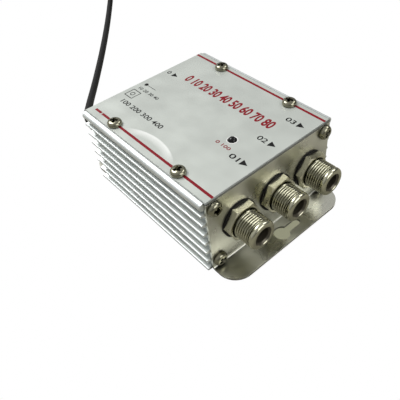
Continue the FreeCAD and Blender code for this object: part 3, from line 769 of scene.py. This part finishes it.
@dataclass
class Port:
    """Threaded port, pointing along -Y or +Y.

    Args:
        node: the solid that it stands for.
        outward: -1 for the front plate, 1 for the rear plate.
    """

    node: str
    outward: int
    thread_r: float = 4.76
    root_r: float = 4.32
    neck_r: float = 4.6
    bore_r: float = 2.6
    mouth_r: float = 3.1
    mouth_deep: float = 0.7
    bore_deep: float = 3.0
    film: float = 0.03
    pitch: float = 0.794
    rim: float = 1.45
    edge_r: float = 0.95
    thread_end: float = 7.3
    plate: float = 10.8
    flange_t: float = 1.5
    shank_r: float = 4.4
    run_in: float = 0.6
    run_out: float = 0.5
    crest: float = 0.8
    round_steps: int = 96
    turn_steps: int = 10

    def radius(self, depth: float, angle: float) -> float:
        """Radius of the thread at a depth behind the tip.

        Args:
            depth: distance behind the tip.
            angle: angle round the axis, in turns.

        Returns:
            The radius.
        """
        phase = (depth / self.pitch + angle) % 1.0
        ridge = 0.5 + 0.5 * math.cos(math.tau * phase)
        height = (self.thread_r - self.root_r) * ridge ** self.crest
        fade = min(1.0, max(0.0, (depth - self.rim) / (self.run_in * self.pitch)))
        fade *= min(1.0, max(0.0, (self.thread_end - depth) / (self.run_out * self.pitch)))
        return self.root_r + height * fade

    def thread(self) -> BMesh:
        """Threaded stretch.

        Returns:
            An open tube from the rim to the nut, with the tip at the origin and the depth along +Z.
        """
        mesh = bmesh.new()
        length = self.thread_end - self.rim
        rows = int(length / self.pitch * self.turn_steps)
        rings = []
        for row in range(rows + 1):
            depth = self.rim + length * row / rows
            ring = []
            for step in range(self.round_steps):
                turn = step / self.round_steps
                angle = math.tau * turn
                radius = self.radius(depth, turn)
                ring.append(mesh.verts.new((radius * math.cos(angle), radius * math.sin(angle), depth)))
            rings.append(ring)
        for first, second in zip(rings, rings[1:]):
            for step in range(self.round_steps):
                after = (step + 1) % self.round_steps
                mesh.faces.new((first[step], first[after], second[after], second[step]))
        return mesh

    def build(self, shop: Shop) -> None:
        """Make the port.

        Args:
            shop: where its pieces are made.
        """
        low, high = NodeBox(self.node).corners()
        middle = NodeBox(self.node).middle()
        flange_r = (high.x - low.x) / 2
        shank_end = high.y - low.y
        tip = Vector((middle.x, middle.y + self.outward * shank_end / 2, middle.z))
        back = Vector((0, -self.outward, 0))
        rim = [(self.root_r, self.rim), (self.thread_r - 0.05, self.rim), (self.thread_r, self.rim - 0.08)]
        rim += arc((self.thread_r - self.edge_r, self.edge_r), self.edge_r, 0, -90, 10)
        rim += [(self.mouth_r + 0.1, 0), (self.mouth_r, 0.1), (self.bore_r, self.mouth_deep)]
        rim += [(self.bore_r, shank_end), (self.shank_r, shank_end)]
        rim += [(radius, self.plate + self.flange_t) for radius in (self.shank_r, flange_r)]
        rim += [(radius, self.plate) for radius in (flange_r, self.neck_r)]
        rim += [(radius, self.thread_end) for radius in (self.neck_r, self.root_r)]
        turned = revolve(rim, (0, 0, 0), Z_AXIS, self.round_steps)
        mesh = merged(joined([turned, self.thread()]), 1e-3)
        bmesh.ops.transform(mesh, matrix=facing(back, tip), verts=mesh.verts)
        shop.piece(self.node + "_threaded", mesh, NICKEL, [self.node], 40.0)
        # The sleeve is painted shade: a dark lining just inside the bore.
        sleeve = [(self.mouth_r - self.film, 0.12), (self.bore_r - self.film, self.mouth_deep)]
        sleeve.append((self.bore_r - self.film, self.bore_deep))
        shop.piece(self.node + "_bore", revolve(sleeve, tip, back, self.round_steps), BORE_SHADE)


@dataclass
class NutSet:
    """Chamfered nuts of the ports, each turned its own way, over black washers.

    Args:
        turns: turn of each nut in degrees, from the front ports to the rear one.
    """

    turns: Sequence[float] = (-5.0, 3.0, -12.0, 8.0)
    across: float = 11.1
    thick: float = 2.2
    washer_r: float = 6.3
    washer_t: float = 0.5
    bore_r: float = 4.8
    spare: float = 0.2
    slope: tuple[float, float] = (0.75, 0.5)
    lead_in: float = 0.25

    def nut(self) -> BMesh:
        """Chamfered nut.

        Returns:
            The nut, its underside at the origin and its outer face towards +Z.
        """
        corner = self.across / math.sqrt(3)
        inward, down = self.slope
        profile = [(self.bore_r, 0), (corner + self.spare, 0), (corner + self.spare, self.thick - down)]
        profile += [(corner - inward, self.thick), (self.bore_r + self.lead_in, self.thick)]
        profile += [(self.bore_r, self.thick - self.lead_in), (self.bore_r, 0)]
        ring = revolve(profile, (0, 0, 0), Z_AXIS, 96)
        for side in range(6):
            angle = math.tau * (side + 0.5) / 6
            normal = Vector((math.cos(angle), math.sin(angle), 0))
            geometry = ring.verts[:] + ring.edges[:] + ring.faces[:]
            result = bmesh.ops.bisect_plane(ring, geom=geometry, plane_co=normal * self.across / 2,
                                            plane_no=normal, clear_outer=True)
            rim = [part for part in result["geom_cut"] if isinstance(part, bmesh.types.BMEdge)]
            bmesh.ops.contextual_create(ring, geom=rim)
        return ring

    def build(self, shop: Shop) -> None:
        """Make the nuts and the washers.

        Args:
            shop: where its pieces are made.
        """
        nuts, washers = [], []
        for port, turn in zip(PORTS, self.turns):
            outward = -1 if port.startswith("out") else 1
            middle = NodeBox(port).middle()
            axis = Vector((0, outward, 0))
            face = outward * NodeBox("top_lid").corners()[1].y
            seat = Vector((middle.x, face, middle.z))
            nut = self.nut()
            spun(nut, turn)
            bmesh.ops.transform(nut, matrix=facing(axis, seat + axis * self.washer_t), verts=nut.verts)
            nuts.append(nut)
            profile = [(self.bore_r, 0), (self.washer_r, 0), (self.washer_r, self.washer_t)]
            profile += [(self.bore_r, self.washer_t), (self.bore_r, 0)]
            washers.append(revolve(profile, seat, axis, 64))
        shop.piece("port_nuts_chamfered", joined(nuts), NUT_NICKEL, ["port_nuts"], 25.0)
        shop.piece("port_washers_round", joined(washers), WASHER, ["port_washers"], 25.0)


@dataclass
class ScrewSet:
    """Pan head screws with a cross recess.

    Args:
        node: the group of solids that they stand for.
        places: underside of each head.
        axis: direction of the shanks.
        length: length of a shank.
        turns: turn of each recess, in degrees.
    """

    node: str
    places: Sequence[tuple[float, float, float]]
    axis: Vector
    length: float
    turns: Sequence[float] = (12.0, 47.0, 71.0, 28.0)
    head_h: float = 1.7
    head_edge: float = 0.5
    head_round: float = 1.15
    shank_r: float = 1.4
    slot_w: float = 1.1
    slot_span: float = 3.5
    slot_deep: float = 1.2
    taper: tuple[float, float] = (0.45, 0.7)

    def head(self) -> BMesh:
        """Screw without its recess.

        Returns:
            Head and shank, the head's underside at the origin and the shank along +Z.
        """
        top = -self.head_h
        profile = [(0, self.length), (self.shank_r - 0.3, self.length), (self.shank_r, self.length - 0.5)]
        profile += [(self.shank_r, 0), (SCREW_HEAD_R - 0.12, 0), (SCREW_HEAD_R, -0.12),
                    (SCREW_HEAD_R, -self.head_edge)]
        profile += arc((SCREW_HEAD_R - self.head_round, -self.head_edge), self.head_round, 0, -72, 7)
        profile += [(0.6, top + 0.02), (0, top)]
        return revolve(profile, (0, 0, 0), Z_AXIS, 48)

    def recess(self) -> list[BMesh]:
        """Cross that is cut into the head.

        Returns:
            Its two tapered arms.
        """
        arms = []
        for quarter in (0.0, 90.0):
            arm = block((-self.slot_span / 2, -self.slot_w / 2, -self.head_h - 1),
                        (self.slot_span / 2, self.slot_w / 2, -self.head_h + self.slot_deep))
            for vert in arm.verts:
                if vert.co.z > -self.head_h:
                    vert.co.x *= self.taper[0]
                    vert.co.y *= self.taper[1]
            spun(arm, quarter)
            arms.append(arm)
        return arms

    def build(self, shop: Shop) -> None:
        """Make the set.

        Args:
            shop: where its pieces are made.
        """
        screws = []
        for place, turn in zip(self.places, self.turns):
            mesh = self.head()
            for arm in self.recess():
                mesh = cut(mesh, arm)
            spun(mesh, turn)
            bmesh.ops.transform(mesh, matrix=facing(self.axis, Vector(place)), verts=mesh.verts)
            screws.append(mesh)
        shop.piece(self.node + "_crossed", joined(screws), SCREW_METAL, [self.node], 35.0)


@dataclass
class LidPrint:
    """Marks on the film: stripes, arrows, plain numbers and simple shapes.

    Args:
        lift: height of the ink above the film.
        stripe_w: width of a stripe.
        stripe_x: middle of each stripe.
        worn: where the left stripe is worn off, from the rear end of the film.
    """

    lift: float = 0.012
    stripe_w: float = 0.9
    stripe_x: tuple[float, float] = (-22.1, 22.9)
    worn: tuple[float, float, float] = (2.2, 5.6, 6.1)

    def __post_init__(self) -> None:
        """Measure the film and the lid."""
        self.low, self.high = NodeBox("lid_overlay").corners()
        self.z = self.high.z + self.lift
        self.front = NodeBox("top_lid").corners()[0].y
        self.inks: dict[str, list[BMesh]] = {"red": [], "black": [], "pale": []}

    def at(self, x: float, y: float) -> Vector:
        """Place on the film, y counted from the front edge of the lid."""
        return Vector((x, self.front + y, self.z))

    def shape(self, ink: str, points: Sequence[tuple[float, float]]) -> None:
        """Filled outline.

        Args:
            ink: name of the ink.
            points: its corners, y counted from the front edge.
        """
        mesh = bmesh.new()
        verts = [mesh.verts.new(self.at(x, y)) for x, y in points]
        face = mesh.faces.new(verts)
        face.normal_update()
        if face.normal.z < 0:
            face.normal_flip()
        self.inks[ink].append(mesh)

    def bar(self, ink: str, x0: float, x1: float, y0: float, y1: float) -> None:
        """Filled rectangle."""
        self.shape(ink, [(x0, y0), (x1, y0), (x1, y1), (x0, y1)])

    def disc(self, ink: str, x: float, y: float, radius: float, inner: float = 0.0) -> None:
        """Disc or ring.

        Args:
            ink: name of the ink.
            x: its middle.
            y: its middle, counted from the front edge.
            radius: its radius.
            inner: radius of the hole; 0 for none.
        """
        count = 40
        for index in range(count):
            turn = [math.tau * (index + step) / count for step in (0, 1)]
            outer = [(x + radius * math.cos(a), y + radius * math.sin(a)) for a in turn]
            near = [(x + inner * math.cos(a), y + inner * math.sin(a)) for a in reversed(turn)]
            self.shape(ink, outer + (near if inner > 0 else [(x, y)]))

    def arrow(self, x: float, base: float, tip: float, width: float) -> None:
        """Black triangle that points along Y."""
        self.shape("black", [(x - width / 2, base), (x + width / 2, base), (x, tip)])

    def number(self, ink: str, text: str, x0: float, x1: float, y0: float, y1: float,
               bold: float = 0.015) -> None:
        """Figures that read along Y, their tops towards +X.

        Args:
            ink: name of the ink.
            text: the figures.
            x0: foot of the figures.
            x1: top of the figures.
            y0: where the line starts.
            y1: where it ends.
            bold: how far each outline is widened, as a share of the type's size.
        """
        curve = bpy.data.curves.new("figures", "FONT")
        curve.body = text
        curve.resolution_u = 4
        curve.offset = bold
        obj = linked("figures", curve)
        view = bpy.context.evaluated_depsgraph_get()
        mesh = bmesh.new()
        mesh.from_mesh(obj.evaluated_get(view).to_mesh())
        bpy.data.objects.remove(obj)
        bpy.data.curves.remove(curve)
        xs = [vert.co.x for vert in mesh.verts]
        ys = [vert.co.y for vert in mesh.verts]
        for vert in mesh.verts:
            along = (vert.co.x - min(xs)) / (max(xs) - min(xs))
            up = (vert.co.y - min(ys)) / (max(ys) - min(ys))
            vert.co = self.at(x0 + (x1 - x0) * up, y0 + (y1 - y0) * along)
        bmesh.ops.recalc_face_normals(mesh, faces=mesh.faces)
        for face in mesh.faces:
            if face.normal.z < 0:
                face.normal_flip()
        self.inks[ink].append(mesh)

    def stripes(self) -> None:
        """Red stripe along each side, the left one worn near its rear end."""
        start, end = self.low.y - self.front, self.high.y - self.front
        left, right = self.stripe_x
        half = self.stripe_w / 2
        self.bar("red", right - half, right + half, start, end)
        for y0, y1 in ((start, end - self.worn[2]), (end - self.worn[1], end - self.worn[0])):
            self.bar("red", left - half, left + half, y0, y1)

    def title(self) -> None:
        """Row of tall red figures."""
        self.number("red", "0 10 20 30 40 50 60 70 80", 8.4, 12.6, 51.0, 10.0, 0.035)

    def outputs(self) -> None:
        """Arrow and number before each front port."""
        for index, x in enumerate((-7.3, 3.9, 16.2), 1):
            self.arrow(x, 5.2, 2.8, 2.4)
            self.number("black", "0" + str(index), x - 1.0, x + 1.0, 9.8, 6.2)

    def input(self) -> None:
        """Arrow and number of the rear port."""
        self.arrow(8.1, 56.4, 54.0, 2.2)
        self.number("black", "0", 7.2, 9.0, 59.2, 57.7)

    def small_marks(self) -> None:
        """Scale, dots and small figures."""
        self.number("red", "0 100", -6.5, -5.2, 17.4, 11.4)
        self.number("black", "10 20 30 40", -5.5, -4.2, 58.4, 47.8)
        self.disc("black", -2.2, 58.0, 0.75)
        self.bar("black", -2.3, -2.1, 52.7, 58.0)
        self.frame_mark(-8.7, 56.9, 2.1, 0.28)
        self.disc("black", -8.7, 56.9, 0.9, 0.62)
        self.number("black", "100 200 300 400", -14.2, -12.3, 56.3, 34.2)
        # Pale ring round the lamp's hole.
        self.disc("pale", -2.4, 14.2, 1.75, 1.5)

    def frame_mark(self, x: float, y: float, half: float, line: float) -> None:
        """Square outline.

        Args:
            x: its middle.
            y: its middle, counted from the front edge.
            half: half its side.
            line: width of its line.
        """
        inner = half - line
        for x0, x1, y0, y1 in ((-half, half, inner, half), (-half, half, -half, -inner),
                               (-half, -inner, -inner, inner), (inner, half, -inner, inner)):
            self.bar("black", x + x0, x + x1, y + y0, y + y1)

    def build(self, shop: Shop) -> None:
        """Make one piece for each ink.

        Args:
            shop: where its pieces are made.
        """
        for part in (self.stripes, self.title, self.outputs, self.input, self.small_marks):
            part()
        finishes = {"red": RED_INK, "black": BLACK_INK, "pale": PALE_RING}
        for ink, meshes in self.inks.items():
            shop.piece("print_" + ink, joined(meshes), finishes[ink], smooth=0.0)


@dataclass
class Lamp:
    """Domed lamp through the lid."""

    node: str = "status_lamp"
    dome_r: float = 1.45
    flange_r: float = 1.9
    flange_t: float = 1.0

    def build(self, shop: Shop) -> None:
        """Make the lamp.

        Args:
            shop: where its pieces are made.
        """
        low, high = NodeBox(self.node).corners()
        middle = NodeBox(self.node).middle()
        seat = NodeBox("top_lid").corners()[0].z
        profile = [(0, low.z), (self.dome_r, low.z), (self.dome_r, seat - self.flange_t)]
        profile += [(self.flange_r, seat - self.flange_t), (self.flange_r, seat), (self.dome_r, seat)]
        profile += arc((0, high.z - self.dome_r), self.dome_r, 0, 90, 14)
        mesh = revolve(profile, (middle.x, middle.y, 0), Z_AXIS, 48)
        shop.piece("status_lamp_domed", mesh, LAMP, [self.node], 50.0)


@dataclass
class Gland:
    """Bushing of the power lead, with a ribbed boot."""

    node: str = "cord_bushing"
    neck_r: float = 2.55
    lip_r: float = 3.0
    boot_r: float = 3.0
    end_r: float = 2.1
    flange_t: float = 1.2
    plate_t: float = 0.8
    ribs: int = 4
    rib_gap: float = 0.55
    rib_deep: float = 0.45

    def build(self, shop: Shop) -> None:
        """Make the bushing.

        Args:
            shop: where its pieces are made.
        """
        low, high = NodeBox(self.node).corners()
        middle = NodeBox(self.node).middle()
        plate_out = NodeBox("top_lid").corners()[1].y
        plate_in = plate_out - self.plate_t
        flange_r = (high.x - low.x) / 2
        boot = plate_out + self.flange_t
        profile = [(0, low.y), (self.lip_r, low.y), (self.lip_r, plate_in), (self.neck_r, plate_in)]
        profile += [(self.neck_r, plate_out), (flange_r - 0.2, plate_out), (flange_r, plate_out + 0.2)]
        profile += [(flange_r, boot - 0.3), (flange_r - 0.3, boot)]
        step = (high.y - boot) / self.ribs
        for rib in range(self.ribs):
            start = boot + rib * step
            for share in (0.0, 1.0):
                along = start + share * (step - self.rib_gap)
                profile.append((self.boot_radius(along, boot, high.y), along))
            for share in (0.0, 1.0):
                along = start + step - self.rib_gap + share * self.rib_gap * 0.9
                profile.append((self.boot_radius(along, boot, high.y) - self.rib_deep, along))
        profile += [(self.end_r - 0.3, high.y), (0, high.y)]
        mesh = revolve(profile, (middle.x, 0, middle.z), Y_AXIS, 40)
        shop.piece("cord_bushing_ribbed", mesh, CORD, [self.node], 25.0)

    def boot_radius(self, along: float, start: float, end: float) -> float:
        """Radius of the boot at a place along it."""
        return self.boot_r + (self.end_r - self.boot_r) * (along - start) / (end - start)


@dataclass
class PowerLead:
    """The lead: its seen stretch, its coil and the end that goes to the plug.

    Args:
        route: points from the bushing to the coil, the same as the solid's.
    """

    route: Sequence[tuple[float, float, float]] = (
        (-18.5, 39.7, 9.9), (-18.5, 51.0, 9.9), (-9.0, 67.5, 4.9), (3.5, 85.5, 1.52),
        (18.0, 104.0, 1.52), (29.6, 119.3, 1.52), (41.0, 134.8, 1.52), (52.1, 150.4, 1.52),
        (63.0, 166.2, 1.52), (73.6, 182.2, 2.2),
    )
    radius: float = 1.5
    coil_at: tuple[float, float] = (91.2, 170.5)
    coil_r: float = 18.0
    pitch: float = 3.1
    floor_row: float = 2.2
    entry: float = 146.4
    exit: float = 8.0
    laps: int = 8
    per_turn: int = 18
    step_every: float = 320.0
    step_over: float = 60.0
    plug_out: float = 13.5
    plug_z: float = 6.87
    length: float = 1.13
    cells: Sequence[tuple[int, int]] = (
        (2, 0), (2, 1), (1, 1), (1, 0), (0, 0), (0, 1), (0, 2), (1, 2), (2, 2),
    )

    def cell(self, wound: float) -> tuple[float, float]:
        """Place of the turn in the section of the coil.

        Args:
            wound: degrees wound so far.

        Returns:
            Its column and row, which are whole except where it steps over to the next one.
        """
        column, row = self.cells[0]
        for index, (next_column, next_row) in enumerate(self.cells[1:], 1):
            share = (wound - index * self.step_every) / self.step_over + 0.5
            share = min(1.0, max(0.0, share))
            column += (next_column - self.cells[index - 1][0]) * share
            row += (next_row - self.cells[index - 1][1]) * share
        return column, row

    def coil_point(self, wound: float) -> tuple[float, float, float]:
        """Control point of the coil.

        Args:
            wound: degrees wound so far.

        Returns:
            The point.
        """
        column, row = self.cell(wound)
        radius = self.coil_r + (column - 1) * self.pitch
        radius /= (1 + math.cos(math.tau / self.per_turn)) / 2
        angle = math.radians(self.entry - wound)
        x = self.coil_at[0] + radius * math.cos(angle)
        y = self.coil_at[1] + radius * math.sin(angle)
        return x, y, self.floor_row + row * self.pitch

    def end_point(self, distance: float) -> tuple[float, float, float]:
        """Control point between the coil and the plug.

        Args:
            distance: its distance from the coil.

        Returns:
            The point.
        """
        angle = math.radians(self.exit)
        outer = self.coil_r + self.pitch
        high = self.floor_row + 2 * self.pitch
        share = distance / self.plug_out
        x = self.coil_at[0] + outer * math.cos(angle) + distance * math.sin(angle)
        y = self.coil_at[1] + outer * math.sin(angle) - distance * math.cos(angle)
        return x, y, high + (self.plug_z - high) * share

    def points(self) -> list[tuple[float, float, float]]:
        """Control points of the whole lead.

        Returns:
            The points, from the bushing to the plug.
        """
        total = self.entry - self.exit + 360 * self.laps
        count = round(total / 360 * self.per_turn)
        turns = [self.coil_point(total * step / count) for step in range(1, count)]
        end = [self.end_point(share * self.plug_out) for share in (0.05, 0.35, 0.7, 1.0)]
        return list(self.route) + turns + end

    def build(self, shop: Shop) -> None:
        """Make the lead.

        Args:
            shop: where its pieces are made.
        """
        curve = bpy.data.curves.new("power_lead", "CURVE")
        curve.dimensions = "3D"
        curve.bevel_depth = self.radius * MM
        curve.bevel_resolution = 6
        curve.resolution_u = 6
        curve.use_fill_caps = True
        spline = curve.splines.new("NURBS")
        points = self.points()
        spline.points.add(len(points) - 1)
        for point, place in zip(spline.points, points):
            point.co = (*[part * MM for part in place], 1.0)
        spline.order_u = 3
        spline.use_endpoint_u = True
        obj = linked("power_lead", curve)
        shop.place(obj, CORD, ["power_cord", "power_cord_coil", "power_cord_end"])
        2 * self.radius * MM


@dataclass
class Studio:
    """Camera, floor and lights."""

    eye: tuple[float, float, float] = (-71.363, -97.482, 112.971)
    heading: float = 0.682
    dip: float = 0.810
    roll: float = -0.082
    lens: float = 41.288
    shift: tuple[float, float] = (-0.0738, 0.0119)
    sky_toward: tuple[float, float, float] = (-0.35, 0.55, 0.75)
    sky_low: float = 0.12
    sky_high: float = 0.60
    card: Colour = (0.30, 0.29, 0.25)
    shade: Colour = (0.29, 0.29, 0.20)
    shade_at: tuple[float, float] = (-0.6, -35.5)
    shade_half: tuple[float, float] = (9.0, 3.4)

    def camera(self) -> None:
        """Camera at the place found from the edges of the case."""
        forward = Vector((
            math.cos(self.dip) * math.sin(self.heading),
            math.cos(self.dip) * math.cos(self.heading),
            -math.sin(self.dip),
        ))
        right = forward.cross(Z_AXIS).normalized()
        up = right.cross(forward)
        turned_right = right * math.cos(self.roll) + up * math.sin(self.roll)
        turned_up = up * math.cos(self.roll) - right * math.sin(self.roll)
        data = bpy.data.cameras.new("camera")
        data.lens = self.lens
        data.sensor_width = 36.0
        data.shift_x, data.shift_y = self.shift
        data.clip_start = 0.005
        camera = linked("camera", data)
        rows = [[turned_right[i], turned_up[i], -forward[i], self.eye[i] * MM] for i in range(3)]
        camera.matrix_world = Matrix(rows + [[0, 0, 0, 1]])
        bpy.context.scene.camera = camera

    def floor(self) -> None:
        """Pale floor; the camera sees it as even white, with shade under the front keyhole."""
        mesh = bmesh.new()
        bmesh.ops.create_grid(mesh, x_segments=1, y_segments=1, size=3.0)
        data = bpy.data.meshes.new("floor")
        mesh.to_mesh(data)
        mesh.free()
        floor = linked("floor", data)
        graph = Graph(bpy.data.materials.new("white_floor"))
        x, y, _ = graph.axes()
        offsets = [graph.math("ABSOLUTE", value - middle) for value, middle in zip((x, y), self.shade_at)]
        inside_x, inside_y = (graph.math("LESS_THAN", offset, half)
                              for offset, half in zip(offsets, self.shade_half))
        card = graph.node("ShaderNodeBsdfDiffuse")
        card.inputs["Color"].default_value = (*self.card, 1.0)
        glow = graph.node("ShaderNodeEmission")
        graph.feed(glow.inputs["Color"], graph.blend(inside_x * inside_y, (1.0, 1.0, 1.0), self.shade))
        mix = graph.node("ShaderNodeMixShader")
        graph.feed(mix.inputs[0], graph.node("ShaderNodeLightPath").outputs["Is Camera Ray"])
        graph.feed(mix.inputs[1], card.outputs[0])
        graph.feed(mix.inputs[2], glow.outputs[0])
        graph.end(mix)
        data.materials.append(graph.owner)

    def lamp(self, name: str, place: Sequence[float], size: float, power: float) -> None:
        """Square soft light that looks at the case.

        Args:
            name: name of the light.
            place: its place, in metres.
            size: its side, in metres.
            power: its power, in watts.
        """
        data = bpy.data.lights.new(name, "AREA")
        data.size = size
        data.energy = power
        lamp = linked(name, data)
        target = Vector((0, 0, 0.014))
        lamp.location = place
        lamp.rotation_euler = (target - Vector(place)).to_track_quat("-Z", "Y").to_euler()

    def world(self) -> None:
        """Surroundings: brighter above and behind the case, white to the camera."""
        world = bpy.data.worlds.new("surroundings")
        bpy.context.scene.world = world
        graph = Graph(world)
        split = graph.node("ShaderNodeSeparateXYZ")
        graph.feed(split.inputs[0], graph.node("ShaderNodeTexCoord").outputs["Generated"])
        x, y, z = (Value(graph, socket) for socket in split.outputs)
        toward = x * self.sky_toward[0] + y * self.sky_toward[1] + z * self.sky_toward[2]
        sky = graph.ramp(toward, -0.3, 0.9, self.sky_low, self.sky_high)
        seen = Value(graph, graph.node("ShaderNodeLightPath").outputs["Is Camera Ray"])
        background = graph.node("ShaderNodeBackground")
        background.inputs["Color"].default_value = (1.0, 1.0, 1.0, 1.0)
        graph.feed(background.inputs["Strength"], sky + seen * (sky * -1.0 + 1.0))
        graph.end(background, "World")

    def build(self) -> None:
        """Set the stage and the picture's settings."""
        self.camera()
        self.floor()
        self.world()
        self.lamp("key", (-0.10, 0.35, 0.50), 0.30, 2.6)
        self.lamp("fill", (0.40, -0.15, 0.40), 0.25, 0.7)
        self.lamp("front", (0.10, -0.50, 0.30), 0.40, 1.2)
        scene = bpy.context.scene
        scene.render.engine = "CYCLES"
        scene.cycles.sample_clamp_indirect = 1.5
        scene.cycles.blur_glossy = 1.0
        scene.render.resolution_x = 400
        scene.render.resolution_y = 400
        scene.view_settings.view_transform = "Standard"


class Amplifier:
    """The parts of the amplifier itself."""

    def __init__(self, shop: Shop) -> None:
        """Keep the shop that makes the pieces."""
        self.shop = shop

    def dress_nodes(self) -> None:
        """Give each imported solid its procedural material."""
        for finish, names in NODE_FINISHES.items():
            for name in names:
                self.shop.dress(bpy.data.objects[name], finish)

    def screws(self) -> list[ScrewSet]:
        """Sets of screws.

        Returns:
            Those of the lid, of the front plate and of the rear plate.
        """
        high = NodeBox("lid_screws").corners()[1]
        half_x, half_y = high.x - SCREW_HEAD_R, high.y - SCREW_HEAD_R
        lid_top = NodeBox("lid_overlay").corners()[1].z
        lid = [(x, y, lid_top) for x in (-half_x, half_x) for y in (-half_y, half_y)]
        low, high = NodeBox("front_plate_screws").corners()
        z_low, z_high = low.z + SCREW_HEAD_R, high.z - SCREW_HEAD_R
        face = NodeBox("top_lid").corners()[0].y
        front = [(x, face, z) for x in (-half_x, half_x) for z in (z_low, z_high)]
        rear = [(x, -face, z) for x, _, z in front]
        return [
            ScrewSet("lid_screws", lid, -Z_AXIS, 5.8),
            ScrewSet("front_plate_screws", front, Y_AXIS, 7.0, (65.0, 20.0, 5.0, 40.0)),
            ScrewSet("rear_plate_screws", rear, -Y_AXIS, 7.0, (33.0, 80.0, 15.0, 55.0)),
        ]

    def parts(self) -> list[Part]:
        """Sub-assemblies, in the order in which they are made."""
        ports = [Port(name, 1 if name == "in_port" else -1) for name in PORTS]
        return [*ports, NutSet(), *self.screws(), LidPrint(), Lamp(), Gland()]


def main() -> None:
    """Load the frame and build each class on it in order."""
    logging.basicConfig(level=logging.INFO)
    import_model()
    shop = Shop(Palette())
    Studio().build()
    PowerLead().build(shop)
    amplifier = Amplifier(shop)
    amplifier.dress_nodes()
    for part in amplifier.parts():
        part.build(shop)


if __name__ == "__main__":
    main()
